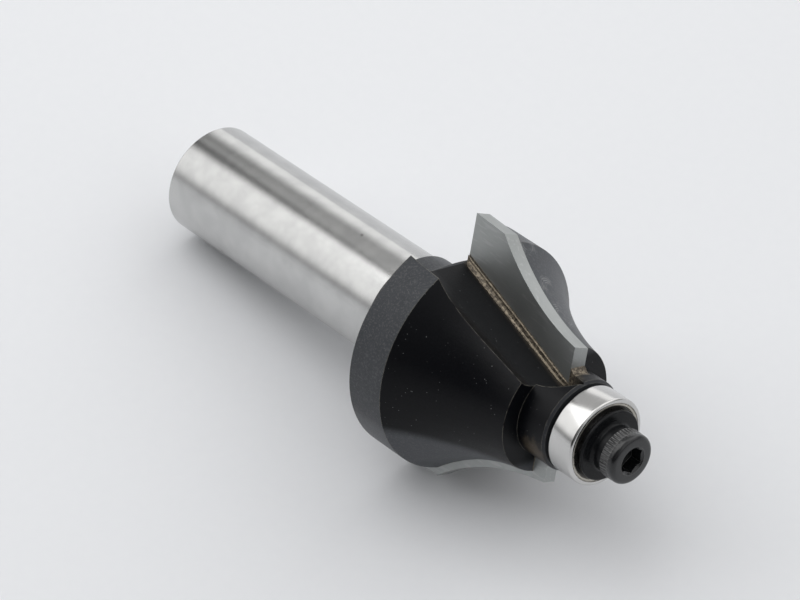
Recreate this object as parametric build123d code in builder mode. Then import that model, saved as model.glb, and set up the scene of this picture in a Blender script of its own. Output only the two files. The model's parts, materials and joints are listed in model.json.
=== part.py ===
from build123d import *
import os
from math import asin, atan2, cos, hypot, radians, sin, sqrt, tan

# A two-wing cove router bit with brazed carbide cutters and a bearing guide at its nose.
# Lengths are in millimetres, angles in degrees. A "station" is a distance along the axis of
# the bit from the end of its shank, and a "radius" is measured from that axis.

# ---------------------------------------------------------------- driving dimensions
# Shank
shank_diameter = 12.0
shank_length = 33.4
shank_end_bevel = 0.6

# Coated head: a hub that spreads to the band, the band, the cove and the nose collar
hub_step = 0.4
hub_length = 5.15
hub_fillet = 3.0
band_width = 4.65
cutting_diameter = 27.2
cutting_relief = 0.97
cove_arc_radius = 22.3
cove_length = 11.8
cutter_overhang = 1.4
cutter_end_radius = 7.7
collar_diameter = 10.0
collar_length = 3.8
collar_bevel = 0.25

# Flutes: a flat floor that sinks towards the nose and rises to the heel of the wing behind,
# with a round-cornered run-out in the collar
flute_floor_radius = 8.1
flute_slope = 15.8
flute_floor_reach = 3.0
flute_corner_radius = 4.2
flute_overrun = 1.8
runout_reach = 3.4
runout_radius = 3.9

# Carbide cutters, their seats and the brazing alloy round them
wing_count = 2
cutter_thickness = 1.7
cutter_back_height = 4.6
cutter_end_height = 3.95
cutter_shear = 5.67
cutter_lead = 0.36
cutter_clearance_angle = 14.0
braze_thickness = 0.10
seat_overrun = 0.9
braze_bead = 0.35

# Ball bearing
bearing_bore = 4.763
bearing_diameter = 9.525
bearing_width = 3.175
bearing_bevel = 0.28
ball_diameter = 1.588
ball_count = 8
race_depth = 0.24
race_clearance = 0.03
shield_thickness = 0.20
shield_recess = 0.06
shield_seat_depth = 0.18
shield_gap = 0.10
cage_wall = 0.62
cage_back = 0.95
cage_lip = 0.30
pocket_clearance = 0.04

# Bearing seat, washer and screw
pilot_clearance = 0.01
pilot_shortfall = 0.20
shoulder_height = 0.35
shoulder_diameter = 5.8
washer_diameter = 7.6
washer_back_diameter = 5.8
washer_back_height = 0.25
washer_flange_height = 0.45
washer_front_diameter = 4.9
washer_front_height = 1.20
washer_bevel = 0.15
screw_diameter = 3.0
screw_length = 10.0
screw_head_diameter = 5.4
screw_head_height = 2.0
screw_head_bevel = 0.25
screw_end_bevel = 0.4
socket_width = 2.5
socket_depth = 1.5
socket_roll = 8.0
screw_hole_clearance = 0.04
screw_hole_spare = 1.5

# ---------------------------------------------------------------- stations and radii
shank_radius = shank_diameter / 2
hub_radius = shank_radius + hub_step
cutting_radius = cutting_diameter / 2
band_radius = cutting_radius - cutting_relief
collar_radius = collar_diameter / 2

band_back = shank_length + hub_length
cove_start = band_back + band_width
wing_end = cove_start + cove_length
cutter_end = wing_end + cutter_overhang
seat_end = cutter_end + seat_overrun
collar_end = wing_end + collar_length
bearing_back = collar_end + shoulder_height
bearing_centre = bearing_back + bearing_width / 2
bearing_front = bearing_back + bearing_width
pilot_end = bearing_front - pilot_shortfall
flange_back = bearing_front + washer_back_height
flange_front = flange_back + washer_flange_height
washer_front = flange_front + washer_front_height
screw_front = washer_front + screw_head_height
pilot_radius = bearing_bore / 2 - pilot_clearance
screw_radius = screw_diameter / 2
screw_hole_radius = screw_radius + screw_hole_clearance


def cove_centre():
    """Station and radius of the centre of the arc that the cutting edge follows."""
    run = cutter_end - cove_start
    drop = cutting_radius - cutter_end_radius
    chord = hypot(run, drop)
    rise = sqrt(cove_arc_radius**2 - (chord / 2) ** 2)
    station = cove_start + run / 2 + rise * drop / chord
    radius = cutting_radius - drop / 2 + rise * run / chord
    return station, radius


def cutting_radius_at(station):
    """Radius of the cutting edge at a station of the cove."""
    centre_station, centre_radius = cove_centre()
    return centre_radius - sqrt(cove_arc_radius**2 - (station - centre_station) ** 2)


def flute_floor_at(station):
    """Height of the flute floor over the axis at a station."""
    return flute_floor_radius - (station - band_back) * tan(radians(flute_slope))


def rake_offset_at(station):
    """Sideways place of the rake face, which crosses the axis at the shear angle."""
    return cutter_lead - (cutter_end - station) * tan(radians(cutter_shear))


def heel_offset():
    """Sideways place of the heel where the flute leaves the back edge of the band."""
    low, high = flute_floor_reach, flute_floor_reach + flute_corner_radius
    for _ in range(60):
        middle = (low + high) / 2
        turn = asin((middle - flute_floor_reach) / flute_corner_radius)
        height = flute_floor_radius + flute_corner_radius * (1 - cos(turn))
        low, high = (middle, high) if hypot(middle, height) < band_radius else (low, middle)
    return middle


wing_end_radius = cutting_radius_at(wing_end) - cutting_relief

# ---------------------------------------------------------------- how the bit lies
# The bit rests on the rim of its shank, on the back corner of cutter 2 and on the heel that
# faces it across the flute, so the flute's mouth is down and the axis climbs to the nose.
def rest_pose():
    """Climb of the axis, and the roll about it of the side that faces up."""
    cutter_x, cutter_y = -cutting_radius, -rake_offset_at(band_back)
    heel_x, heel_y = -sqrt(band_radius**2 - heel_offset() ** 2), -heel_offset()
    mouth = hypot(heel_x - cutter_x, heel_y - cutter_y)
    across_x, across_y = (heel_y - cutter_y) / mouth, (cutter_x - heel_x) / mouth
    mouth_distance = cutter_x * across_x + cutter_y * across_y
    climb = atan2(mouth_distance - shank_radius, band_back - shank_end_bevel)
    return climb, atan2(-across_y, -across_x)


def lying_plane():
    """Plane square to the axis at the shank's end, with its X along cutter 1's radius."""
    climb, roll_up = rest_pose()
    axis = Vector(cos(climb), 0, sin(climb))
    upward = Vector(-sin(climb), 0, cos(climb))
    sideways = Vector(0, 1, 0)
    back_reach = -(shank_radius - shank_end_bevel) * sin(climb)
    nose_reach = screw_front * cos(climb) + (screw_head_diameter / 2 - screw_head_bevel) * sin(climb)
    return Plane(
        origin=(-(back_reach + nose_reach) / 2, 0, shank_radius * cos(climb) - shank_end_bevel * sin(climb)),
        x_dir=upward * cos(roll_up) + sideways * sin(roll_up),
        z_dir=axis,
    )


bit = lying_plane()
bit_axis = Axis(bit.origin, bit.z_dir)
# Profiles are drawn as (station, radius) in the plane that holds the axis.
lengthwise = Plane(bit.origin, x_dir=bit.z_dir, z_dir=bit.y_dir)


def across(station):
    """Plane square to the axis at a station."""
    return bit.offset(station)


def turned_bit(wing):
    """The bit's plane, rolled about the axis so that its X runs along one cutter's radius."""
    roll = radians(360 / wing_count * wing)
    return Plane(bit.origin, x_dir=bit.x_dir * cos(roll) + bit.y_dir * sin(roll), z_dir=bit.z_dir)


def rake_plane(wing):
    """Plane of a cutter's rake face: X runs along the blade, Y along its radius."""
    turned = turned_bit(wing)
    origin = turned.from_local_coords((0, cutter_lead, cutter_end))
    shear = radians(cutter_shear)
    along = turned.z_dir * cos(shear) + turned.y_dir * sin(shear)
    return Plane(origin, x_dir=along, z_dir=along.cross(turned.x_dir))


def along_blade(station):
    """Distance along the rake plane's X of a station, from the cutter's nose end."""
    return (station - cutter_end) / cos(radians(cutter_shear))


def seat_height_at(station):
    """Height of the cutter's seat over the axis at a station."""
    back = cutting_radius - cutter_back_height
    end = cutter_end_radius - cutter_end_height
    return back + (end - back) * (station - band_back) / (cutter_end - band_back)


# ---------------------------------------------------------------- body: shank, hub, wings, collar
with BuildPart() as turned_blank:
    with BuildSketch(lengthwise):
        with BuildLine():
            Polyline(
                (0, 0),
                (0, shank_radius - shank_end_bevel),
                (shank_end_bevel, shank_radius),
                (shank_length, shank_radius),
                (shank_length, hub_radius),
                (band_back - hub_fillet, hub_radius),
            )
            RadiusArc((band_back - hub_fillet, hub_radius), (band_back, hub_radius + hub_fillet), -hub_fillet)
            Polyline((band_back, hub_radius + hub_fillet), (band_back, band_radius), (cove_start, band_radius))
            RadiusArc((cove_start, band_radius), (wing_end, wing_end_radius), -cove_arc_radius)
            Polyline(
                (wing_end, wing_end_radius),
                (wing_end, collar_radius),
                (collar_end - collar_bevel, collar_radius),
                (collar_end, collar_radius - collar_bevel),
                (collar_end, shoulder_diameter / 2),
                (bearing_back, shoulder_diameter / 2),
                (bearing_back, pilot_radius),
                (pilot_end, pilot_radius),
                (pilot_end, 0),
                (0, 0),
            )
        make_face()
    revolve(axis=bit_axis)


def flute_floor(wing):
    """Plane in the floor of a flute at the shank's end: X is square to it and Z runs down it."""
    turned = turned_bit(wing)
    slope = radians(flute_slope)
    return Plane(
        origin=turned.from_local_coords((flute_floor_at(shank_length), 0, shank_length)),
        x_dir=turned.x_dir * cos(slope) + turned.z_dir * sin(slope),
        z_dir=turned.z_dir * cos(slope) - turned.x_dir * sin(slope),
    )


def flute_cutter(wing):
    """The gullet in front of one cutter, from the hub to its run-out in the collar."""
    floor = flute_floor(wing)
    wall = flute_floor_reach + flute_corner_radius
    wing_run = (wing_end - shank_length) / cos(radians(flute_slope))
    collar_run = (cutter_end + flute_overrun - wing_end) / cos(radians(flute_slope))
    with BuildPart() as flute:
        with BuildSketch(floor):
            with BuildLine():
                Line((0, -cutting_radius), (0, flute_floor_reach))
                RadiusArc((0, flute_floor_reach), (flute_corner_radius, wall), flute_corner_radius)
                Polyline(
                    (flute_corner_radius, wall),
                    (cutting_diameter, wall),
                    (cutting_diameter, -cutting_radius),
                    (0, -cutting_radius),
                )
            make_face()
        extrude(amount=wing_run)
        with BuildSketch(Plane(floor.offset(wing_run).origin, x_dir=floor.y_dir, z_dir=floor.x_dir)):
            with BuildLine():
                Polyline((0, collar_run), (-cutting_radius, collar_run), (-cutting_radius, 0), (runout_reach, 0))
                RadiusArc((runout_reach, 0), (0, collar_run), -runout_radius)
            make_face()
        extrude(amount=cutting_diameter)
        split(bisect_by=rake_plane(wing), keep=Keep.TOP)
    return flute.part


def seat_outline(back, front, drop, top):
    """Four-sided outline over the sloping seat, drawn in a cutter's rake plane."""
    Polyline(
        (along_blade(back), seat_height_at(back) - drop),
        (along_blade(front), seat_height_at(front) - drop),
        (along_blade(front), top),
        (along_blade(back), top),
        close=True,
    )


def seat_cutter(wing):
    """The pocket that takes one carbide plate and the film of braze behind and under it."""
    with BuildPart() as seat:
        with BuildSketch(rake_plane(wing)):
            with BuildLine():
                seat_outline(band_back - hub_fillet, seat_end, braze_thickness, cutting_diameter)
            make_face()
        extrude(amount=-(cutter_thickness + braze_thickness))
    return seat.part


gullets = [flute_cutter(wing) for wing in range(wing_count)]
seats = [seat_cutter(wing) for wing in range(wing_count)]

with BuildPart() as bit_body:
    add(turned_blank.part)
    add(gullets, mode=Mode.SUBTRACT)
    add(seats, mode=Mode.SUBTRACT)
    with Locations(across(pilot_end)):
        Hole(screw_hole_radius, depth=screw_length - (washer_front - pilot_end) + screw_hole_spare)
bit_body.part.label = "bit_body"


# ---------------------------------------------------------------- carbide cutters and their braze
def build_cutter(wing):
    """One carbide plate: its rake face is the sketch, and its flank leans back behind it."""
    rake = rake_plane(wing)
    clearance = radians(cutter_clearance_angle)
    lean = -rake.z_dir * cos(clearance) - rake.y_dir * sin(clearance)
    with BuildPart() as cutter:
        with BuildSketch(rake):
            with BuildLine():
                Polyline(
                    (along_blade(cutter_end), cutter_end_radius),
                    (along_blade(cutter_end), 0),
                    (along_blade(band_back), 0),
                    (along_blade(band_back), cutting_radius),
                    (along_blade(cove_start), cutting_radius),
                )
                RadiusArc(
                    (along_blade(cove_start), cutting_radius),
                    (along_blade(cutter_end), cutter_end_radius),
                    -cove_arc_radius,
                )
            make_face()
        extrude(amount=cutter_thickness / cos(clearance), dir=lean)
        with BuildSketch(rake):
            with BuildLine():
                seat_outline(band_back, cutter_end, 0, cutting_diameter)
            make_face()
        extrude(amount=-cutter_thickness, mode=Mode.INTERSECT)
    return cutter.part


def build_braze(wing):
    """Brazing alloy: a film behind and under the cutter, and a bead past its nose end."""
    filled_seat = seats[wing] & turned_blank.part
    with BuildPart() as braze:
        add(filled_seat)
        with BuildSketch(rake_plane(wing)):
            with BuildLine():
                Polyline(
                    (along_blade(cutter_end), seat_height_at(cutter_end)),
                    (along_blade(seat_end), seat_height_at(seat_end)),
                    (along_blade(seat_end), collar_radius - braze_bead),
                    (along_blade(cutter_end), collar_radius + braze_bead),
                    close=True,
                )
            make_face()
        extrude(amount=-cutter_thickness)
        add(cutters[wing], mode=Mode.SUBTRACT)
    return braze.part


cutters = [build_cutter(wing) for wing in range(wing_count)]
brazes = [build_braze(wing) for wing in range(wing_count)]

# ---------------------------------------------------------------- ball bearing
half_width = bearing_width / 2
bore_radius = bearing_bore / 2
rim_radius = bearing_diameter / 2
ball_radius = ball_diameter / 2
pitch_radius = (bore_radius + rim_radius) / 2
inner_land = pitch_radius - ball_radius + race_depth
outer_land = pitch_radius + ball_radius - race_depth
shield_seat = outer_land + shield_seat_depth
shield_outside = half_width - shield_recess
shield_inside = shield_outside - shield_thickness
race_middle = (bearing_centre, pitch_radius)


def ring_profile(inside, outside, bevel_radii):
    """Half section of a bearing ring, with a ball groove cut in it and its rim edges bevelled."""
    with BuildSketch(lengthwise) as profile:
        with Locations((bearing_centre, (inside + outside) / 2)):
            Rectangle(bearing_width, outside - inside)
        edge = outside if bevel_radii == "outside" else inside
        rim = profile.vertices().filter_by(lambda corner: abs(lengthwise.to_local_coords(corner).Y - edge) < 1e-6)
        chamfer(rim, bearing_bevel if bevel_radii == "outside" else bearing_bevel / 2)
        with Locations(race_middle):
            Circle(ball_radius + race_clearance, mode=Mode.SUBTRACT)
    return profile.sketch


with BuildPart() as bearing_inner_ring:
    add(ring_profile(bore_radius, inner_land, "inside"))
    revolve(axis=bit_axis)
bearing_inner_ring.part.label = "bearing_inner_ring"

with BuildPart() as bearing_outer_ring:
    add(ring_profile(outer_land, rim_radius, "outside"))
    revolve(axis=bit_axis)
    for side in (-1, 1):
        with BuildSketch(lengthwise):
            with Locations((bearing_centre + side * (half_width + shield_inside) / 2, (outer_land + shield_seat) / 2)):
                Rectangle(half_width - shield_inside, shield_seat - outer_land)
        revolve(axis=bit_axis, mode=Mode.SUBTRACT)
bearing_outer_ring.part.label = "bearing_outer_ring"


def build_shield(side):
    """Thin metal shield pressed in one side of the outer ring, clear of the inner ring."""
    with BuildPart() as shield:
        with BuildSketch(lengthwise):
            middle = bearing_centre + side * (shield_outside + shield_inside) / 2
            inside = inner_land + shield_gap
            with Locations((middle, (inside + shield_seat) / 2)):
                Rectangle(shield_thickness, shield_seat - inside)
        revolve(axis=bit_axis)
    return shield.part


shields = {"bearing_shield_back": build_shield(-1), "bearing_shield_front": build_shield(1)}

ball_spots = PolarLocations(pitch_radius, ball_count).local_locations
balls = []
for spot in ball_spots:
    with BuildPart(across(bearing_centre)) as ball:
        with Locations(spot.position):
            Sphere(ball_radius)
    balls.append(ball.part)

with BuildPart(across(bearing_centre)) as ball_cage:
    with BuildSketch(lengthwise):
        with Locations((bearing_centre + (cage_lip - cage_back) / 2, pitch_radius)):
            Rectangle(cage_back + cage_lip, cage_wall)
    revolve(axis=bit_axis)
    with PolarLocations(pitch_radius, ball_count):
        Cylinder(ball_radius + pocket_clearance, 2 * cage_wall, rotation=(0, 90, 0), mode=Mode.SUBTRACT)
ball_cage.part.label = "ball_cage"

# ---------------------------------------------------------------- washer and screw
with BuildPart() as bearing_washer:
    with BuildSketch(lengthwise):
        with BuildLine():
            Polyline(
                (bearing_front, screw_hole_radius),
                (bearing_front, washer_back_diameter / 2),
                (flange_back, washer_back_diameter / 2),
                (flange_back, washer_diameter / 2),
                (flange_front - washer_bevel, washer_diameter / 2),
                (flange_front, washer_diameter / 2 - washer_bevel),
                (flange_front, washer_front_diameter / 2),
                (washer_front, washer_front_diameter / 2),
                (washer_front, screw_hole_radius),
                close=True,
            )
        make_face()
    revolve(axis=bit_axis)
bearing_washer.part.label = "bearing_washer"

screw_tip = washer_front - screw_length

with BuildPart() as bearing_screw:
    with BuildSketch(lengthwise):
        with BuildLine():
            Polyline(
                (screw_tip, 0),
                (screw_tip, screw_radius - screw_end_bevel),
                (screw_tip + screw_end_bevel, screw_radius),
                (washer_front, screw_radius),
                (washer_front, screw_head_diameter / 2),
                (screw_front - screw_head_bevel, screw_head_diameter / 2),
                (screw_front, screw_head_diameter / 2 - screw_head_bevel),
                (screw_front, 0),
                close=True,
            )
        make_face()
    revolve(axis=bit_axis)
    with BuildSketch(across(screw_front)):
        RegularPolygon(socket_width / 2, 6, major_radius=False, rotation=socket_roll)
    extrude(amount=-socket_depth, mode=Mode.SUBTRACT)
bearing_screw.part.label = "bearing_screw"

# ---------------------------------------------------------------- one STEP file for each piece
pieces = {
    part.label: part
    for part in (
        bit_body.part,
        bearing_inner_ring.part,
        bearing_outer_ring.part,
        ball_cage.part,
        bearing_washer.part,
        bearing_screw.part,
    )
}
pieces.update(shields)
pieces.update({f"cutter_{wing + 1}": cutter for wing, cutter in enumerate(cutters)})
pieces.update({f"braze_{wing + 1}": braze for wing, braze in enumerate(brazes)})
pieces.update({f"ball_{number + 1}": ball for number, ball in enumerate(balls)})

os.makedirs("parts", exist_ok=True)
for name, piece in pieces.items():
    piece.label = name
    export_step(piece, f"parts/{name}.step")
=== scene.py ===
import json
from math import atan2, cos, pi, radians, sin, sqrt, tan

import bmesh
import bpy
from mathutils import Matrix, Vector, noise


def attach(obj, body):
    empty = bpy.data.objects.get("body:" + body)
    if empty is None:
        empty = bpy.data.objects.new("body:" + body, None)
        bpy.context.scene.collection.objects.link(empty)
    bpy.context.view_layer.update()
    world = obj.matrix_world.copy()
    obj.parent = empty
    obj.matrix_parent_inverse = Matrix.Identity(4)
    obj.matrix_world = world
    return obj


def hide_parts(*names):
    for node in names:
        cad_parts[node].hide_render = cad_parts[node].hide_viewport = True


# A router bit on a pale sheet: the looks of its solids, and the finer pieces that stand for some.

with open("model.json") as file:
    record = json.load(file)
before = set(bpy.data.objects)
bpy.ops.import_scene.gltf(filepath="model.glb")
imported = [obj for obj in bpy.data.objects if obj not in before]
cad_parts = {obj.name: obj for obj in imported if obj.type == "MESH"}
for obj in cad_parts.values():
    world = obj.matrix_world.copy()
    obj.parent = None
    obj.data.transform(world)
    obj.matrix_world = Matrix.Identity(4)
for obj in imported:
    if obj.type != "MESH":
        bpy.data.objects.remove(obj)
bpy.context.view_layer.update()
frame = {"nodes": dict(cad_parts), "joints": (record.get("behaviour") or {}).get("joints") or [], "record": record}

MM = 0.001

# ---------------------------------------------------------------- the bit's own dimensions
# Millimetres and degrees, as the solids have them. A station is a distance along the axis from
# the shank's end.
SHANK_RADIUS = 6.0
SHANK_END = 33.4
BAND_BACK = 38.55
COVE_START = 43.2
CUTTER_END = 56.4
COLLAR_BEVEL = 58.55

# Plates, their seats and the flutes
SHEAR = 5.67
CUTTER_LEAD = 0.36
SEAT_BACK = 9.0
SEAT_FRONT = 3.75
BRAZE_FILM = 0.10
FLOOR_HEIGHT = 8.1
FLUTE_SLOPE = 15.8

# Bearing
BEARING_BACK = 59.15
BEARING_FRONT = 62.325
BEARING_MIDDLE = (BEARING_BACK + BEARING_FRONT) / 2
RIM_RADIUS = 4.7625
RIM_ROUNDING = 0.26
PITCH_RADIUS = 3.572
GROOVE_RADIUS = 0.824
OUTER_LAND = 4.126
SHIELD_SEAT = 4.306
SHIELD_HOLE = 3.118
SHIELD_FRONT = 1.5275
SHIELD_BACK = 1.3275

# Washer
SPACER_RADIUS = 2.9
FLANGE_BACK = 62.575
FLANGE_FRONT = 63.025
FLANGE_RADIUS = 3.8
BOSS_RADIUS = 2.45
WASHER_FRONT = 64.225
WASHER_HOLE = 1.54

# Screw
SCREW_TIP = 54.225
SCREW_FRONT = 66.225
SCREW_RADIUS = 1.5
HEAD_RADIUS = 2.7
HEAD_CROWN = 0.50
KNURL_RIDGES = 44
KNURL_DEPTH = 0.11
SOCKET_WIDTH = 2.5
SOCKET_DEPTH = 1.5
SOCKET_ROLL = 8.0
SOCKET_MOUTH = 1.54

# ---------------------------------------------------------------- the bit's own axes
# "Blade" points along cutter 1's radius and "side" is square to it.
SPIN = frame["joints"][0]
AXIS = Vector(SPIN["axis"]).normalized()
ORIGIN = Vector(SPIN["pos_m"]) - AXIS * (BEARING_MIDDLE * MM)
ROLL_UP = radians(19.882)
SIDEWAYS = Vector((0, 1, 0))
BLADE = AXIS.cross(SIDEWAYS) * cos(ROLL_UP) + SIDEWAYS * sin(ROLL_UP)
SIDE = AXIS.cross(BLADE)

SEAT_SLOPE = (SEAT_FRONT - SEAT_BACK) / (CUTTER_END - BAND_BACK)
RAKE_SLOPE = tan(radians(SHEAR))


def place(station, blade=0.0, side=0.0):
    """Point in the row frame, in metres, from a place on the bit in millimetres."""
    return ORIGIN + (AXIS * station + BLADE * blade + SIDE * side) * MM


def rake_offset(station):
    """How far the rake face stands to the side of the blade's plane."""
    return CUTTER_LEAD - (CUTTER_END - station) * RAKE_SLOPE


def seat_height(station):
    """Height over the axis of the step that carries a plate."""
    return SEAT_BACK + (SEAT_FRONT - SEAT_BACK) * (station - BAND_BACK) / (CUTTER_END - BAND_BACK)


def floor_height(station):
    """Height over the axis of the flute's floor."""
    return FLOOR_HEIGHT - (station - BAND_BACK) * tan(radians(FLUTE_SLOPE))


# ---------------------------------------------------------------- shader building
class Nodes:
    """Node tree written as nested calls."""

    def __init__(self, tree):
        self.tree = tree
        self.tree.nodes.clear()

    def add(self, kind, **settings):
        node = self.tree.nodes.new(kind)
        for key, value in settings.items():
            setattr(node, key, value)
        return node

    def feed(self, socket, value):
        if isinstance(value, bpy.types.NodeSocket):
            self.tree.links.new(value, socket)
        elif value is not None:
            socket.default_value = value

    def math(self, operation, a, b=None, c=None):
        node = self.add("ShaderNodeMath", operation=operation)
        for socket, value in zip(node.inputs, (a, b, c)):
            self.feed(socket, value)
        return node.outputs[0]

    def vector(self, operation, a, b=None, scale=None):
        node = self.add("ShaderNodeVectorMath", operation=operation)
        self.feed(node.inputs[0], a)
        self.feed(node.inputs[1], b)
        self.feed(node.inputs[3], scale)
        return node.outputs[1 if operation in ("DOT_PRODUCT", "LENGTH") else 0]

    def combine(self, x, y, z):
        node = self.add("ShaderNodeCombineXYZ")
        for socket, value in zip(node.inputs, (x, y, z)):
            self.feed(socket, value)
        return node.outputs[0]

    def step(self, value, low, high):
        """0 at low, 1 at high, smooth between them. Low may be the larger one."""
        node = self.add("ShaderNodeMapRange", interpolation_type="SMOOTHSTEP")
        self.feed(node.inputs["Value"], value)
        flipped = low > high
        node.inputs["From Min"].default_value = high if flipped else low
        node.inputs["From Max"].default_value = low if flipped else high
        node.inputs["To Min"].default_value = 1.0 if flipped else 0.0
        node.inputs["To Max"].default_value = 0.0 if flipped else 1.0
        return node.outputs[0]

    def remap(self, value, low, high, to_low, to_high):
        node = self.add("ShaderNodeMapRange")
        for socket, number in zip(node.inputs, (value, low, high, to_low, to_high)):
            self.feed(socket, number)
        return node.outputs[0]

    def mix(self, factor, a, b):
        """Number or colour a where factor is 0, b where it is 1."""
        colours = any(isinstance(v, tuple) or getattr(v, "type", "") == "RGBA" for v in (a, b))
        node = self.add("ShaderNodeMix", data_type="RGBA" if colours else "FLOAT")
        sockets = [s for s in node.inputs if s.enabled]
        self.feed(sockets[0], factor)
        for socket, value in zip(sockets[1:], (a, b)):
            self.feed(socket, (*value, 1.0) if isinstance(value, tuple) else value)
        return next(s for s in node.outputs if s.enabled)

    def layer(self, under, mask, strength, over):
        """One colour laid over another where a mask is, up to a strength."""
        return self.mix(self.math("MULTIPLY", mask, strength), under, over)

    def all(self, *factors):
        """Product of several masks."""
        product = factors[0]
        for factor in factors[1:]:
            product = self.math("MULTIPLY", product, factor)
        return product

    def either(self, *factors):
        """Largest of several masks."""
        largest = factors[0]
        for factor in factors[1:]:
            largest = self.math("MAXIMUM", largest, factor)
        return largest


class Shader(Nodes):
    """Node tree of one material. Lengths in it are millimetres."""

    def __init__(self, name):
        self.material = bpy.data.materials.new(name)
        self.material.use_nodes = True
        super().__init__(self.material.node_tree)
        self.surface = self.add("ShaderNodeBsdfPrincipled")
        output = self.add("ShaderNodeOutputMaterial")
        self.tree.links.new(self.surface.outputs[0], output.inputs["Surface"])
        coordinates = self.add("ShaderNodeTexCoord").outputs["Object"]
        self.place = self.vector("SCALE", self.vector("SUBTRACT", coordinates, ORIGIN), scale=1 / MM)

    def noise(self, vector, scale, detail=3.0, roughness=0.5):
        node = self.add("ShaderNodeTexNoise")
        self.feed(node.inputs["Vector"], vector)
        node.inputs["Scale"].default_value = scale
        node.inputs["Detail"].default_value = detail
        node.inputs["Roughness"].default_value = roughness
        return node.outputs["Fac"]

    def cells(self, vector, scale):
        """Distance to the nearest of many scattered points."""
        node = self.add("ShaderNodeTexVoronoi")
        self.feed(node.inputs["Vector"], vector)
        node.inputs["Scale"].default_value = scale
        return node.outputs["Distance"]

    def bump(self, height, distance, normal):
        """Normal bent by a height from 0 to 1 that stands for a distance in millimetres."""
        node = self.add("ShaderNodeBump")
        node.inputs["Distance"].default_value = distance * MM
        self.feed(node.inputs["Height"], height)
        self.feed(node.inputs["Normal"], normal)
        return node.outputs[0]

    def rounded(self, radius):
        """Normal of edges rounded to a radius in millimetres."""
        node = self.add("ShaderNodeBevel", samples=4)
        node.inputs["Radius"].default_value = radius * MM
        return node.outputs[0]

    def edge(self, radius):
        """1 on edges narrower than a radius in millimetres, 0 on flat ground."""
        true_normal = self.add("ShaderNodeNewGeometry").outputs["True Normal"]
        return self.step(self.vector("DOT_PRODUCT", true_normal, self.rounded(radius)), 0.995, 0.93)

    def finish(self, **sockets):
        for name, value in sockets.items():
            self.feed(self.surface.inputs[name.replace("_", " ")], value)
        return self.material


class BitShader(Shader):
    """Shader that also knows its place on the bit: station, blade, side and radius."""

    def __init__(self, name):
        super().__init__(name)
        self.station = self.vector("DOT_PRODUCT", self.place, AXIS)
        self.blade = self.vector("DOT_PRODUCT", self.place, BLADE)
        self.side = self.vector("DOT_PRODUCT", self.place, SIDE)
        blade_square = self.math("MULTIPLY", self.blade, self.blade)
        side_square = self.math("MULTIPLY", self.side, self.side)
        self.squares = self.math("ADD", blade_square, side_square)
        self.radius = self.math("SQRT", self.squares)

    def from_spot(self, spot):
        """Distance from a place on the bit, given as station, blade and side."""
        here = self.combine(self.station, self.blade, self.side)
        return self.vector("LENGTH", self.vector("SUBTRACT", here, spot))

    def folded(self):
        """Height over the axis and offset from the blade's plane, with wing 2 laid over wing 1."""
        sign = self.math("SIGN", self.blade)
        return self.math("ABSOLUTE", self.blade), self.math("MULTIPLY", self.side, sign)


def grey(value):
    return (value, value, value)


# ---------------------------------------------------------------- colours and marks
BLACK = grey(0.0)
WHITE_DUST = (0.62, 0.63, 0.64)
SHANK_DULL = (0.500, 0.500, 0.495)
SHANK_BRIGHT = (0.560, 0.560, 0.552)
SPECK_BROWN = (0.12, 0.10, 0.09)
COAT_GLOSSY = ((0.0018, 0.0020, 0.0032), (0.0026, 0.0029, 0.0042))
COAT_MATTE = ((0.044, 0.047, 0.052), (0.058, 0.061, 0.067))
COAT_BACK = (0.105, 0.110, 0.120)
COAT_SPECKLE = grey(0.26)
# Pale edge colour: partly wear of the coat, partly painted highlight.
COAT_WEAR_AND_HIGHLIGHT = (0.22, 0.21, 0.18)
# Painted highlight: the lighter ring on the collar's front bevel.
COLLAR_RIM_HIGHLIGHT = (0.10, 0.105, 0.115)
SMEAR_BROWN = (0.085, 0.066, 0.044)
SWIRL_GREY = grey(0.46)
STAIN_DARK = (0.020, 0.017, 0.013)
STAIN_LIGHT = (0.12, 0.105, 0.085)
CARBIDE_DARK = (0.372, 0.386, 0.380)
CARBIDE_LIGHT = (0.430, 0.442, 0.438)
CARBIDE_SCRATCH = grey(0.62)
BRAZE_DARK = (0.018, 0.015, 0.012)
BRAZE_BROWN = (0.13, 0.108, 0.082)
# Tan of the alloy, also used as a painted highlight along the bead's edges.
BRAZE_TAN_AND_HIGHLIGHT = (0.42, 0.355, 0.265)
BEARING_STEEL = (0.60, 0.595, 0.585)
BALL_STEEL = (0.7, 0.7, 0.7)
CAGE_BRASS = (0.62, 0.48, 0.22)
SHIELD_DULL = (0.38, 0.36, 0.32)
SHIELD_BRIGHT = (0.50, 0.48, 0.43)
# Painted shade in the shield's dish, between its rim and the washer.
SHIELD_DISH_SHADE = (0.035, 0.034, 0.032)
OXIDE_DARK = (0.004, 0.004, 0.005)
OXIDE_LIGHT = (0.010, 0.011, 0.012)
# Pale edge colour of the oxide: partly rubbed wear, partly painted highlight.
OXIDE_WEAR_AND_HIGHLIGHT = grey(0.24)

# The band is matte outside this radius, and stained steps fade out past this station.
BAND_EDGE = 12.3
STAIN_END = 57.6
# Middles of the tool marks behind cutter 1: station, blade and side in millimetres.
SWIRL_CENTRES = (
    (43.4, 11.7, -4.2),
    (47.3, 8.5, -4.6),
    (50.2, 7.2, -3.6),
)
SWIRL_PITCH = 0.26
# Middle of the brown smear on the collar beside cutter 2, in the same measures.
COLLAR_SMEAR = (57.2, -2.4, 4.3)
# Dark specks on the shank: station in millimetres, angle from the blade in degrees, and size.
SHANK_SPECKS = (
    (8.7, 129, 0.34),
    (13.2, 140, 0.30),
    (26.0, 16, 0.16),
)


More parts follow.
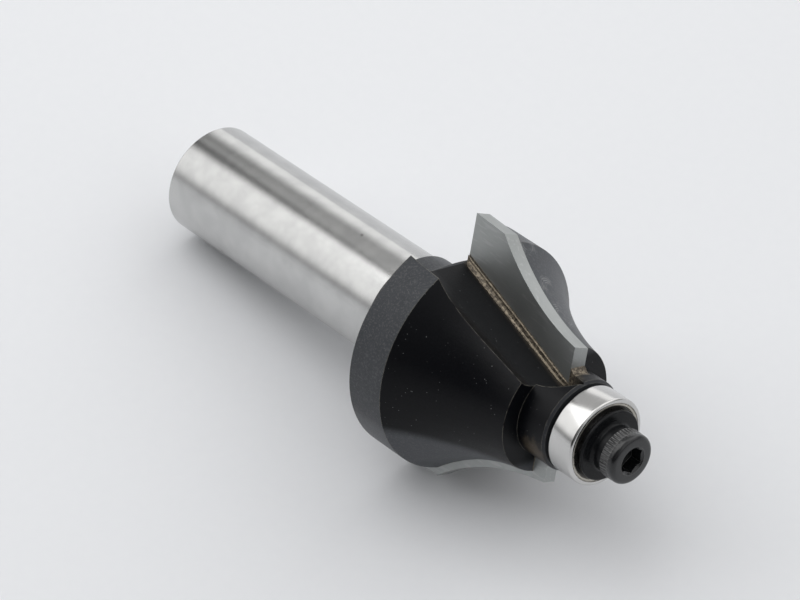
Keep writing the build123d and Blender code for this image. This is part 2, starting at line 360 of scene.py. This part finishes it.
# ---------------------------------------------------------------- materials
def ground_steel(shader):
    """Colour, roughness and height of the bare shank: grinding lines, haze and a few specks."""
    turning = shader.combine(
        shader.math("MULTIPLY", shader.station, 9.0),
        shader.math("DIVIDE", shader.blade, shader.radius),
        shader.math("DIVIDE", shader.side, shader.radius),
    )
    grinding = shader.noise(turning, 3.0, detail=4.0, roughness=0.65)
    haze = shader.noise(shader.place, 0.45, detail=4.0)
    colour = shader.mix(shader.step(haze, 0.3, 0.7), SHANK_DULL, SHANK_BRIGHT)
    for station, degrees, size in SHANK_SPECKS:
        angle = radians(degrees)
        middle = (station, SHANK_RADIUS * cos(angle), SHANK_RADIUS * sin(angle))
        ragged = shader.noise(shader.place, 4.0, detail=2.0)
        distance = shader.math("MULTIPLY_ADD", ragged, size, shader.from_spot(middle))
        mark = shader.step(distance, size * 1.7, size * 1.1)
        colour = shader.layer(colour, mark, 0.6, SPECK_BROWN)
    roughness = shader.remap(grinding, 0.3, 0.7, 0.20, 0.27)
    return colour, roughness, shader.math("MULTIPLY", grinding, 0.05)


def tool_swirls(shader):
    """Faint rings that the relieving tool left behind cutter 1."""
    swirls = []
    for centre in SWIRL_CENTRES:
        distance = shader.from_spot(centre)
        sine = shader.math("SINE", shader.math("MULTIPLY", distance, 2 * pi / SWIRL_PITCH))
        wave = shader.remap(sine, -1.0, 1.0, 0.0, 1.0)
        inside = shader.step(distance, 0.3, 0.8)
        outside = shader.step(distance, 1.9, 1.2)
        swirls.append(shader.all(wave, inside, outside))
    broken = shader.step(shader.noise(shader.place, 0.8, detail=2.0), 0.40, 0.62)
    return shader.all(shader.either(*swirls), broken)


def matte_faces(shader):
    """Masks of all matte faces of the head, and of the back of each wing among them."""
    height, offset = shader.folded()
    band = shader.all(
        shader.step(shader.station, COVE_START + 0.05, COVE_START - 0.05),
        shader.step(shader.squares, BAND_EDGE**2, (BAND_EDGE + 0.2) ** 2),
    )
    hub = shader.step(shader.station, BAND_BACK + 0.05, BAND_BACK - 0.05)
    wing_back = shader.all(shader.step(offset, -0.8, -1.6), shader.step(height, 5.0, 6.5))
    return shader.either(band, hub, wing_back), wing_back


def dust(shader, matte):
    """Mask of pale dust: clusters in patches and a few lone grains, fainter on matte faces."""
    patches = shader.step(shader.noise(shader.place, 0.45, detail=2.0), 0.46, 0.62)
    cluster = shader.all(shader.step(shader.cells(shader.place, 1.9), 0.11, 0.05), patches)
    elsewhere = shader.vector("ADD", shader.place, (7.3, 1.1, 4.9))
    lone = shader.step(shader.cells(elsewhere, 0.9), 0.055, 0.03)
    uneven = shader.noise(shader.place, 2.0)
    return shader.all(shader.either(cluster, lone), uneven, shader.mix(matte, 1.0, 0.4))


def smear(shader):
    """Mask of the brown smear on the collar."""
    fringe = shader.noise(shader.place, 1.6, detail=4.0)
    return shader.step(shader.math("MULTIPLY_ADD", fringe, 2.0, shader.from_spot(COLLAR_SMEAR)), 3.0, 1.6)


def black_coat(shader):
    """Colour, roughness and height of the coated head, from its grain up to its wear and dirt, with painted
    highlights on its edges and on the collar's bevel.
    """
    grain = shader.noise(shader.place, 4.5, detail=5.0, roughness=0.75)
    coarse = shader.noise(shader.place, 0.9, detail=3.0)
    matte, wing_back = matte_faces(shader)
    swirls = tool_swirls(shader)
    speckle = shader.all(shader.step(grain, 0.50, 0.62), shader.mix(matte, 0.004, 0.16))
    patchy = shader.step(shader.noise(shader.place, 1.8, detail=3.0), 0.25, 0.60)
    # Pale edges: partly the coat worn off, partly a painted highlight along edges that catch light.
    wear_and_highlight = shader.all(shader.edge(0.12), patchy)
    # Painted highlight: a lighter ring on the collar's front bevel, where it catches light.
    rim = shader.step(shader.station, COLLAR_BEVEL - 0.03, COLLAR_BEVEL + 0.03)

    colour = shader.mix(matte, shader.mix(coarse, *COAT_GLOSSY), shader.mix(coarse, *COAT_MATTE))
    colour = shader.layer(colour, wing_back, 0.5, COAT_BACK)
    colour = shader.mix(speckle, colour, COAT_SPECKLE)
    colour = shader.layer(colour, dust(shader, matte), 0.42, WHITE_DUST)
    colour = shader.layer(colour, wear_and_highlight, 0.65, COAT_WEAR_AND_HIGHLIGHT)
    colour = shader.layer(colour, rim, 0.3, COLLAR_RIM_HIGHLIGHT)
    colour = shader.layer(colour, smear(shader), 0.7, SMEAR_BROWN)
    colour = shader.layer(colour, swirls, 0.34, SWIRL_GREY)

    roughness = shader.mix(matte, shader.remap(grain, 0.3, 0.7, 0.33, 0.38), 0.42)
    return colour, roughness, shader.math("MULTIPLY_ADD", swirls, 0.25, grain)


def seat_stain(shader, shank):
    """Mask of the steel step under each plate, where brazing alloy has run."""
    height, offset = shader.folded()
    rake = shader.math("MULTIPLY_ADD", shader.station, RAKE_SLOPE, rake_offset(0))
    from_rake = shader.math("ABSOLUTE", shader.math("SUBTRACT", offset, rake))
    seat = shader.math("MULTIPLY_ADD", shader.station, SEAT_SLOPE, seat_height(0))
    below_seat = shader.math("SUBTRACT", seat, height)
    ragged = shader.math("MULTIPLY_ADD", shader.noise(shader.place, 2.6, detail=4.0), 0.5, -0.25)
    return shader.all(
        shader.step(from_rake, 0.9, 0.2),
        shader.step(shader.math("ADD", below_seat, ragged), 1.5, 0.9),
        shader.step(shader.station, BAND_BACK - 0.6, BAND_BACK + 0.2),
        shader.step(shader.station, STAIN_END + 1.0, STAIN_END),
        shader.math("SUBTRACT", 1.0, shank),
    )


def coated_steel():
    """Bright ground shank, and the black coated head with its stained steps."""
    shader = BitShader("coated_steel")
    shank = shader.step(shader.station, SHANK_END + 0.02, SHANK_END - 0.02)
    steel, steel_roughness, steel_height = ground_steel(shader)
    coat, coat_roughness, coat_height = black_coat(shader)
    speckle = shader.noise(shader.place, 7.0, detail=4.0, roughness=0.75)
    alloy = shader.mix(shader.step(speckle, 0.35, 0.68), STAIN_DARK, STAIN_LIGHT)
    coat = shader.layer(coat, seat_stain(shader, shank), 0.7, alloy)
    height = shader.mix(shank, coat_height, steel_height)
    return shader.finish(
        Base_Color=shader.mix(shank, coat, steel),
        Metallic=shank,
        Roughness=shader.mix(shank, coat_roughness, steel_roughness),
        IOR=1.25,
        Normal=shader.bump(height, 0.016, shader.rounded(0.08)),
    )


def carbide():
    """Ground tungsten carbide: satin grey with faint grinding lines along the blade."""
    shader = BitShader("carbide")
    across = shader.combine(
        shader.math("MULTIPLY", shader.station, 0.12),
        shader.math("MULTIPLY", shader.math("ABSOLUTE", shader.blade), 3.0),
        shader.math("MULTIPLY", shader.side, 3.0),
    )
    lines = shader.noise(across, 2.4, detail=4.0, roughness=0.6)
    scratch = shader.step(shader.noise(across, 1.1, detail=2.0), 0.60, 0.66)
    cloud = shader.noise(shader.place, 0.5, detail=2.0)
    colour = shader.mix(cloud, CARBIDE_DARK, CARBIDE_LIGHT)
    return shader.finish(
        Base_Color=shader.layer(colour, scratch, 0.25, CARBIDE_SCRATCH),
        Metallic=1.0,
        Roughness=shader.remap(lines, 0.3, 0.7, 0.46, 0.56),
        Normal=shader.bump(lines, 0.0006, shader.rounded(0.03)),
    )


def braze():
    """Brown, heat-stained brazing alloy with tan spots where it is rubbed, and tan along its edges that is partly
    its own colour and partly a painted highlight on its ridge.
    """
    shader = BitShader("braze")
    speckle = shader.noise(shader.place, 9.0, detail=4.0, roughness=0.75)
    patch = shader.noise(shader.place, 3.0, detail=3.0)
    colour = shader.mix(shader.step(speckle, 0.38, 0.60), BRAZE_DARK, BRAZE_BROWN)
    colour = shader.mix(shader.all(shader.step(patch, 0.45, 0.62), speckle), colour, BRAZE_TAN_AND_HIGHLIGHT)
    return shader.finish(
        # Tan on the bead's edges: partly the alloy's own colour, partly a painted highlight along its ridge.
        Base_Color=shader.layer(colour, shader.edge(0.05), 0.6, BRAZE_TAN_AND_HIGHLIGHT),
        Metallic=0.6,
        Roughness=shader.remap(speckle, 0.3, 0.7, 0.34, 0.6),
        Normal=shader.bump(speckle, 0.02, shader.rounded(0.05)),
    )


def polished(name, colour, low, high):
    """Polished or satin metal with fine lines round the axis, between two roughnesses."""
    shader = BitShader(name)
    turning = shader.combine(
        shader.math("MULTIPLY", shader.station, 14.0),
        shader.math("MULTIPLY", shader.radius, 14.0),
        shader.math("DIVIDE", shader.blade, shader.radius),
    )
    lines = shader.noise(turning, 1.6, detail=3.0)
    cloud = shader.noise(shader.place, 0.9, detail=2.0)
    darker = tuple(channel * 0.9 for channel in colour)
    return shader.finish(
        Base_Color=shader.mix(cloud, darker, colour),
        Metallic=1.0,
        Roughness=shader.remap(lines, 0.3, 0.7, low, high),
        Normal=shader.bump(lines, 0.00015, shader.rounded(0.05)),
    )


def shield_with_painted_shade():
    """Satin shield steel, with painted shade on the dish inside its rim: dark and less metallic there."""
    shader = BitShader("shield_steel")
    cloud = shader.noise(shader.place, 2.5, detail=4.0)
    # Painted shade: the dish between the shield's rim and the washer is dark and less metallic.
    dish = shader.step(shader.math("MULTIPLY_ADD", cloud, 0.10, shader.radius), 4.05, 3.95)
    return shader.finish(
        Base_Color=shader.mix(dish, shader.mix(cloud, SHIELD_DULL, SHIELD_BRIGHT), SHIELD_DISH_SHADE),
        Metallic=shader.mix(dish, 1.0, 0.4),
        Roughness=shader.remap(cloud, 0.3, 0.7, 0.24, 0.38),
        Normal=shader.bump(cloud, 0.004, shader.rounded(0.04)),
    )


def black_oxide():
    """Black oxide on steel, with a light film of oil and a few specks of dust."""
    shader = BitShader("black_oxide")
    fine = shader.noise(shader.place, 16.0, detail=4.0, roughness=0.7)
    cloud = shader.noise(shader.place, 1.6, detail=2.0)
    specks = shader.all(
        shader.step(shader.cells(shader.place, 4.5), 0.09, 0.04),
        shader.step(shader.noise(shader.place, 0.9), 0.52, 0.6),
    )
    # Painted light: the lit screw head gets the pale edge colour more strongly and a higher specular level than
    # the washer behind it, which is kept darker as painted shade; the pale edges are partly rubbed wear and partly
    # painted highlight.
    head = shader.step(shader.station, WASHER_FRONT - 0.02, WASHER_FRONT + 0.02)
    wear_and_highlight = shader.all(shader.edge(0.05), shader.mix(head, 0.2, 0.7))
    colour = shader.layer(shader.mix(cloud, OXIDE_DARK, OXIDE_LIGHT), specks, 0.4, WHITE_DUST)
    return shader.finish(
        Base_Color=shader.mix(wear_and_highlight, colour, OXIDE_WEAR_AND_HIGHLIGHT),
        Metallic=0.0,
        Roughness=shader.remap(fine, 0.3, 0.7, 0.20, 0.28),
        IOR=1.50,
        Specular_IOR_Level=shader.mix(head, 0.14, 0.55),
        Normal=shader.bump(fine, 0.003, shader.rounded(0.03)),
    )


MATERIALS = {
    "coated_steel": coated_steel(),
    "carbide": carbide(),
    "braze": braze(),
    "bearing_steel": polished("bearing_steel", BEARING_STEEL, 0.15, 0.22),
    "ball_steel": polished("ball_steel", BALL_STEEL, 0.05, 0.09),
    "shield_steel": shield_with_painted_shade(),
    "cage_brass": polished("cage_brass", CAGE_BRASS, 0.25, 0.4),
    "black_oxide": black_oxide(),
}


def dress(piece, slot):
    """Gives a piece the material of one of the record's slots."""
    piece.data.materials.clear()
    piece.data.materials.append(MATERIALS[slot])
    return piece


for subpart in frame["record"]["subparts"]:
    dress(frame["nodes"][subpart["node"]], subpart["material_slot"])


# ---------------------------------------------------------------- mesh building
def fillet(before, corner, after, radius, steps=6):
    """Points of the arc that rounds one corner of a profile."""
    to_before = (before - corner).normalized()
    to_after = (after - corner).normalized()
    half = to_before.angle(to_after) / 2
    centre = corner + (to_before + to_after).normalized() * radius / sin(half)
    start = corner + to_before * radius / tan(half) - centre
    end = corner + to_after * radius / tan(half) - centre
    swept = start.angle(end)
    arc = []
    for step in range(steps + 1):
        share = step / steps
        arc.append(centre + (start * sin((1 - share) * swept) + end * sin(share * swept)) / sin(swept))
    return arc


def closed_profile(*corners):
    """Loop of (station, radius) points through corners given as station, radius and rounding."""
    points = [Vector(corner[:2]) for corner in corners]
    line = []
    for number, corner in enumerate(corners):
        if len(corner) < 3:
            line.append(points[number])
            continue
        after = points[(number + 1) % len(points)]
        line.extend(fillet(points[number - 1], points[number], after, corner[2]))
    return line


def build_mesh(name, points, faces, slot, sharp=35):
    """Object made from points in metres, smooth but for edges sharper than an angle."""
    mesh = bpy.data.meshes.new(name)
    mesh.from_pydata(points, [], faces)
    work = bmesh.new()
    work.from_mesh(mesh)
    bmesh.ops.remove_doubles(work, verts=work.verts, dist=1e-8)
    bmesh.ops.recalc_face_normals(work, faces=work.faces)
    work.to_mesh(mesh)
    work.free()
    mesh.shade_smooth()
    mesh.set_sharp_from_angle(angle=radians(sharp))
    piece = bpy.data.objects.new(name, mesh)
    bpy.context.scene.collection.objects.link(piece)
    return dress(piece, slot)


def strips(ring_count, size, closed=False):
    """Quads that join rings of points, numbered one ring after another."""
    faces = []
    for ring in range(ring_count if closed else ring_count - 1):
        after = (ring + 1) % ring_count
        for point in range(size):
            beside = (point + 1) % size
            here, there = ring * size, after * size
            faces.append((here + point, here + beside, there + beside, there + point))
    return faces


def capped_strips(ring_count, size):
    """The same quads, with the first and the last ring closed by a face."""
    first = tuple(range(size))
    last = tuple(range((ring_count - 1) * size, ring_count * size))
    return strips(ring_count, size) + [first, last]


def turned(name, rings, slot, closed=False, segments=192):
    """Piece lofted through rings round the axis. Station and radius may be functions of the angle."""
    points = []
    for station, radius in rings:
        for number in range(segments):
            angle = 2 * pi * number / segments
            at = station(angle) if callable(station) else station
            out = radius(angle) if callable(radius) else radius
            points.append(place(at, out * cos(angle), out * sin(angle)))
    return build_mesh(name, points, strips(len(rings), segments, closed), slot)


# ---------------------------------------------------------------- bearing, washer and screw
def ball_groove(steps=12):
    """Arc of the ball groove in the outer ring, from its front edge to its back edge."""
    rise = OUTER_LAND - PITCH_RADIUS
    first = atan2(rise, sqrt(GROOVE_RADIUS**2 - rise**2))
    arc = []
    for step in range(steps + 1):
        angle = first + (pi - 2 * first) * step / steps
        station = BEARING_MIDDLE + GROOVE_RADIUS * cos(angle)
        arc.append((station, PITCH_RADIUS + GROOVE_RADIUS * sin(angle)))
    return arc


def build_outer_ring():
    """Outer ring with rounded rims, a seat for each shield and the ball groove."""
    lip = 0.05
    front = BEARING_MIDDLE + SHIELD_BACK
    back = BEARING_MIDDLE - SHIELD_BACK
    line = closed_profile(
        (BEARING_BACK, RIM_RADIUS, RIM_ROUNDING),
        (BEARING_FRONT, RIM_RADIUS, RIM_ROUNDING),
        (BEARING_FRONT, SHIELD_SEAT, lip),
        (front, SHIELD_SEAT),
        (front, OUTER_LAND),
        *ball_groove(),
        (back, OUTER_LAND),
        (back, SHIELD_SEAT),
        (BEARING_BACK, SHIELD_SEAT, lip),
    )
    ring = turned("ring_outer", line, "bearing_steel", closed=True)
    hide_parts("bearing_outer_ring")
    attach(ring, "bearing_rim")


def build_shield(name, node, facing):
    """Pressed shield with a gutter round its rim; facing is 1 in front and -1 behind."""
    dish = 1.40
    gutter_radius = SHIELD_SEAT - 0.07
    ridge_radius, dish_radius = 4.03, 3.96
    line = closed_profile(
        (SHIELD_BACK, SHIELD_SEAT),
        (dish, SHIELD_SEAT),
        (dish, gutter_radius),
        (SHIELD_FRONT, gutter_radius, 0.05),
        (SHIELD_FRONT, ridge_radius, 0.05),
        (dish, dish_radius, 0.04),
        (dish, SHIELD_HOLE, 0.03),
        (SHIELD_BACK, SHIELD_HOLE),
    )
    rings = [(BEARING_MIDDLE + facing * station, radius) for station, radius in line]
    shield = turned(name, rings, "shield_steel", closed=True)
    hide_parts(node)
    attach(shield, "bearing_rim")


def build_snap_ring(name, facing):
    """Open wire ring that holds a shield in, with the gap between its ends at the top."""
    wire_radius = 0.045
    middle_radius = 4.27
    clearance = 0.005
    gap = radians(9)
    first = radians(3) + gap / 2
    turns, sides = 120, 10
    station = BEARING_MIDDLE + facing * (SHIELD_FRONT - wire_radius - clearance)
    points = []
    for turn in range(turns + 1):
        angle = first + (2 * pi - gap) * turn / turns
        for side in range(sides):
            around = 2 * pi * side / sides
            radius = middle_radius + wire_radius * cos(around)
            at = station + wire_radius * sin(around)
            points.append(place(at, radius * cos(angle), radius * sin(angle)))
    ring = build_mesh(name, points, capped_strips(turns + 1, sides), "shield_steel")
    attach(ring, "bearing_rim")


def build_washer():
    """Turned washer with a rounded flange and a fillet at the foot of its boss."""
    line = closed_profile(
        (BEARING_FRONT, WASHER_HOLE),
        (BEARING_FRONT, SPACER_RADIUS, 0.04),
        (FLANGE_BACK, SPACER_RADIUS, 0.05),
        (FLANGE_BACK, FLANGE_RADIUS, 0.12),
        (FLANGE_FRONT, FLANGE_RADIUS, 0.16),
        (FLANGE_FRONT, BOSS_RADIUS, 0.40),
        (WASHER_FRONT, BOSS_RADIUS, 0.12),
        (WASHER_FRONT, WASHER_HOLE, 0.05),
    )
    washer = turned("washer_turned", line, "black_oxide", closed=True)
    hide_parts("bearing_washer")
    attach(washer, "bit")


def knurled(angle):
    """Radius of the head's straight knurl."""
    phase = (angle * KNURL_RIDGES / (2 * pi)) % 1
    return HEAD_RADIUS - KNURL_DEPTH * (1 - abs(2 * phase - 1))


def hexagon(angle):
    """Radius of the socket."""
    return SOCKET_WIDTH / 2 / cos((angle - radians(SOCKET_ROLL)) % (pi / 3) - pi / 6)


def chamfer_foot(angle):
    """Station at which the socket's conical mouth meets its flats."""
    return SCREW_FRONT - (SOCKET_MOUTH - hexagon(angle)) * 0.8


def build_screw():
    """Socket cap screw: knurled head with a rounded crown and a chamfered hexagon."""
    rim = HEAD_RADIUS - 0.02
    foot = Vector((WASHER_FRONT, rim))
    top = Vector((SCREW_FRONT, rim))
    crown = fillet(foot, top, Vector((SCREW_FRONT, 0)), HEAD_CROWN)
    rings = [
        (SCREW_TIP, 0.0),
        (SCREW_TIP, 1.1),
        (SCREW_TIP + 0.4, SCREW_RADIUS),
        (WASHER_FRONT, SCREW_RADIUS),
        (WASHER_FRONT, HEAD_RADIUS - 0.16),
        (WASHER_FRONT + 0.10, HEAD_RADIUS - 0.07),
        (WASHER_FRONT + 0.14, knurled),
        (WASHER_FRONT + 1.05, knurled),
        (WASHER_FRONT + 1.13, rim),
        *crown,
        (SCREW_FRONT, SOCKET_MOUTH),
        (chamfer_foot, hexagon),
        (SCREW_FRONT - SOCKET_DEPTH, hexagon),
        (SCREW_FRONT - SOCKET_DEPTH - 0.3, 0.0),
    ]
    screw = turned("screw_socket_head", rings, "black_oxide", segments=KNURL_RIDGES * 8)
    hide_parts("bearing_screw")
    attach(screw, "bit")


# ---------------------------------------------------------------- brazing alloy
def bead_section(station, share, number):
    """Section of a bead as (height, distance in front of the rake face) points."""
    lump = 0.10 * noise.noise(Vector((station * 1.7, number * 9.0, 0)))
    grain = 0.04 * noise.noise(Vector((station * 6.0, number * 5.0, 3.0)))
    taper = min(1, share * 25, (1 - share) * 12)
    reach = taper * (0.55 - 0.30 * share + lump)
    ridge = seat_height(station) - BRAZE_FILM - 0.20 * (1 - min(1, share * 2.2))
    floor = floor_height(station)
    return (
        (ridge, -0.05),
        (ridge, 0.04 * taper),
        (ridge - 0.05, (0.11 + grain) * taper),
        (ridge - 0.16, (0.12 + grain / 2) * taper),
        ((ridge + floor) / 2 - 0.05, (0.15 + lump / 3) * taper),
        (floor + 0.12, reach * 0.6),
        (floor + 0.04, reach),
        (floor - 0.05, reach),
        (floor - 0.05, -0.05),
    )


def build_bead(number):
    """Lumpy bead of brazing alloy in the corner under one cutter, with a ridge along its top."""
    turn = 1 if number == 1 else -1
    back, front, count = BAND_BACK - 0.2, CUTTER_END + 0.2, 150
    points = []
    for step in range(count + 1):
        share = step / count
        station = back + (front - back) * step / count
        section = bead_section(station, share, number)
        for height, out in section:
            points.append(place(station, turn * height, turn * (rake_offset(station) + out)))
    faces = capped_strips(count + 1, len(section))
    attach(build_mesh(f"braze_bead_{number}", points, faces, "braze", sharp=60), "bit")


build_outer_ring()
for end, facing in (("back", -1), ("front", 1)):
    build_shield(f"shield_pressed_{end}", f"bearing_shield_{end}", facing)
    build_snap_ring(f"snap_ring_{end}", facing)
build_washer()
build_screw()
for wing in (1, 2):
    build_bead(wing)

# ---------------------------------------------------------------- floor and backdrop
BACKDROP = (0.76, 0.77, 0.79)
PAPER_DARK = (0.780, 0.790, 0.812)
PAPER_LIGHT = (0.800, 0.810, 0.828)
FLOOR_HALF = 1.5
# Distances from the bit, in millimetres, between which the floor fades into the backdrop.
FADE_START = 150.0
FADE_END = 500.0


def pale_paper():
    """Matt paper that fades into the backdrop's own colour far from the bit."""
    shader = Shader("floor_paper")
    grain = shader.noise(shader.place, 0.9, detail=4.0)
    far = shader.step(shader.vector("LENGTH", shader.place), FADE_START, FADE_END)
    rays = shader.add("ShaderNodeLightPath").outputs
    shown = shader.either(rays["Is Camera Ray"], rays["Is Glossy Ray"], rays["Is Transmission Ray"])
    fade = shader.all(far, shown)
    return shader.finish(
        Base_Color=shader.mix(fade, shader.mix(grain, PAPER_DARK, PAPER_LIGHT), BLACK),
        Roughness=0.75,
        Specular_IOR_Level=0.2,
        Emission_Color=(*BACKDROP, 1.0),
        Emission_Strength=fade,
    )


def build_floor():
    """Pale sheet that the bit lies on."""
    corners = [(x * FLOOR_HALF, y * FLOOR_HALF, 0) for x, y in ((-1, -1), (1, -1), (1, 1), (-1, 1))]
    mesh = bpy.data.meshes.new("floor")
    mesh.from_pydata(corners, [], [(0, 1, 2, 3)])
    mesh.materials.append(pale_paper())
    floor = bpy.data.objects.new("floor", mesh)
    bpy.context.scene.collection.objects.link(floor)


# ---------------------------------------------------------------- light and camera
# Bright patches of the room: middle azimuth, half the width, lowest and highest elevation and
# softness of the border, all in degrees, then radiance.
PANELS = (
    (-148, 29, 12, 50, 8, 1.30),
    (122, 30, -5, 24, 8, 1.35),
    (75, 28, 15, 60, 10, 0.9),
    (0, 180, 66, 95, 10, 0.9),
    (20, 30, 15, 60, 10, 0.9),
    (-35, 35, 25, 62, 12, 0.28),
)
AMBIENT = 0.03
# Elevations, in degrees, up to which the backdrop is whole and at which it has faded out.
BACKDROP_SOLID = 3
BACKDROP_TOP = 7
# Lamps: azimuth and elevation in degrees, distance and size in metres, and power in watts.
LAMPS = (
    (85, 50, 0.40, 0.30, 0.22),
    (139, 55, 0.35, 0.30, 0.15),
    (-150, 68, 0.40, 0.34, 0.56),
)


def direction(azimuth, elevation):
    """Unit vector from an azimuth round +Z and an elevation, in degrees."""
    a, e = radians(azimuth), radians(elevation)
    return Vector((cos(e) * cos(a), cos(e) * sin(a), sin(e)))


def panel_light(nodes, ray, elevation, azimuth, half_width, low, high, soft, radiance):
    """Radiance of one bright patch of the room, as PANELS lists it."""
    above = nodes.step(elevation, radians(low - soft), radians(low + soft))
    below = nodes.step(elevation, radians(high + soft), radians(high - soft))
    patch = nodes.all(above, below, radiance)
    if half_width == 180:
        return patch
    ahead = nodes.vector("DOT_PRODUCT", ray, direction(azimuth, 0))
    beside = nodes.vector("DOT_PRODUCT", ray, direction(azimuth + 90, 0))
    turn = nodes.math("ABSOLUTE", nodes.math("ARCTAN2", beside, ahead))
    across = nodes.step(turn, radians(half_width + soft), radians(half_width - soft))
    return nodes.all(patch, across)


def build_world():
    """Dim room with bright soft panels, and the pale backdrop all round the floor's edge."""
    world = bpy.data.worlds.new("studio")
    bpy.context.scene.world = world
    world.use_nodes = True
    nodes = Nodes(world.node_tree)
    ray = nodes.add("ShaderNodeTexCoord").outputs["Generated"]
    elevation = nodes.math("ARCSINE", nodes.vector("DOT_PRODUCT", ray, (0, 0, 1)))
    light = AMBIENT
    for panel in PANELS:
        light = nodes.math("ADD", light, panel_light(nodes, ray, elevation, *panel))
    near_floor = nodes.step(elevation, radians(BACKDROP_TOP), radians(BACKDROP_SOLID))
    background = nodes.add("ShaderNodeBackground")
    nodes.feed(background.inputs["Color"], nodes.mix(near_floor, light, BACKDROP))
    nodes.feed(nodes.add("ShaderNodeOutputWorld").inputs["Surface"], background.outputs[0])


def build_lamp(name, azimuth, elevation, distance, size, power):
    """Square soft lamp that faces the bit."""
    light = bpy.data.lights.new(name, "AREA")
    light.shape = "SQUARE"
    light.size = size
    light.energy = power
    lamp = bpy.data.objects.new(name, light)
    lamp.location = direction(azimuth, elevation) * distance
    lamp.rotation_euler = direction(azimuth, elevation).to_track_quat("Z", "Y").to_euler()
    lamp.visible_camera = False
    bpy.context.scene.collection.objects.link(lamp)


def build_camera():
    """Long lens from above the nose, as far as the photograph's perspective says."""
    camera_data = bpy.data.cameras.new("camera")
    camera_data.lens = 180.0
    camera_data.sensor_width = 36.0
    camera_data.clip_start = 0.01
    camera = bpy.data.objects.new("camera", camera_data)
    camera.location = Vector((207.57, -178.93, 312.45)) * MM
    camera.rotation_euler = [radians(angle) for angle in (42.444, 0.4406, 48.948)]
    bpy.context.scene.collection.objects.link(camera)
    bpy.context.scene.camera = camera


build_floor()
build_world()
for number, lamp in enumerate(LAMPS, 1):
    build_lamp(f"lamp_{number}", *lamp)
build_camera()

bpy.context.scene.view_settings.view_transform = "Standard"
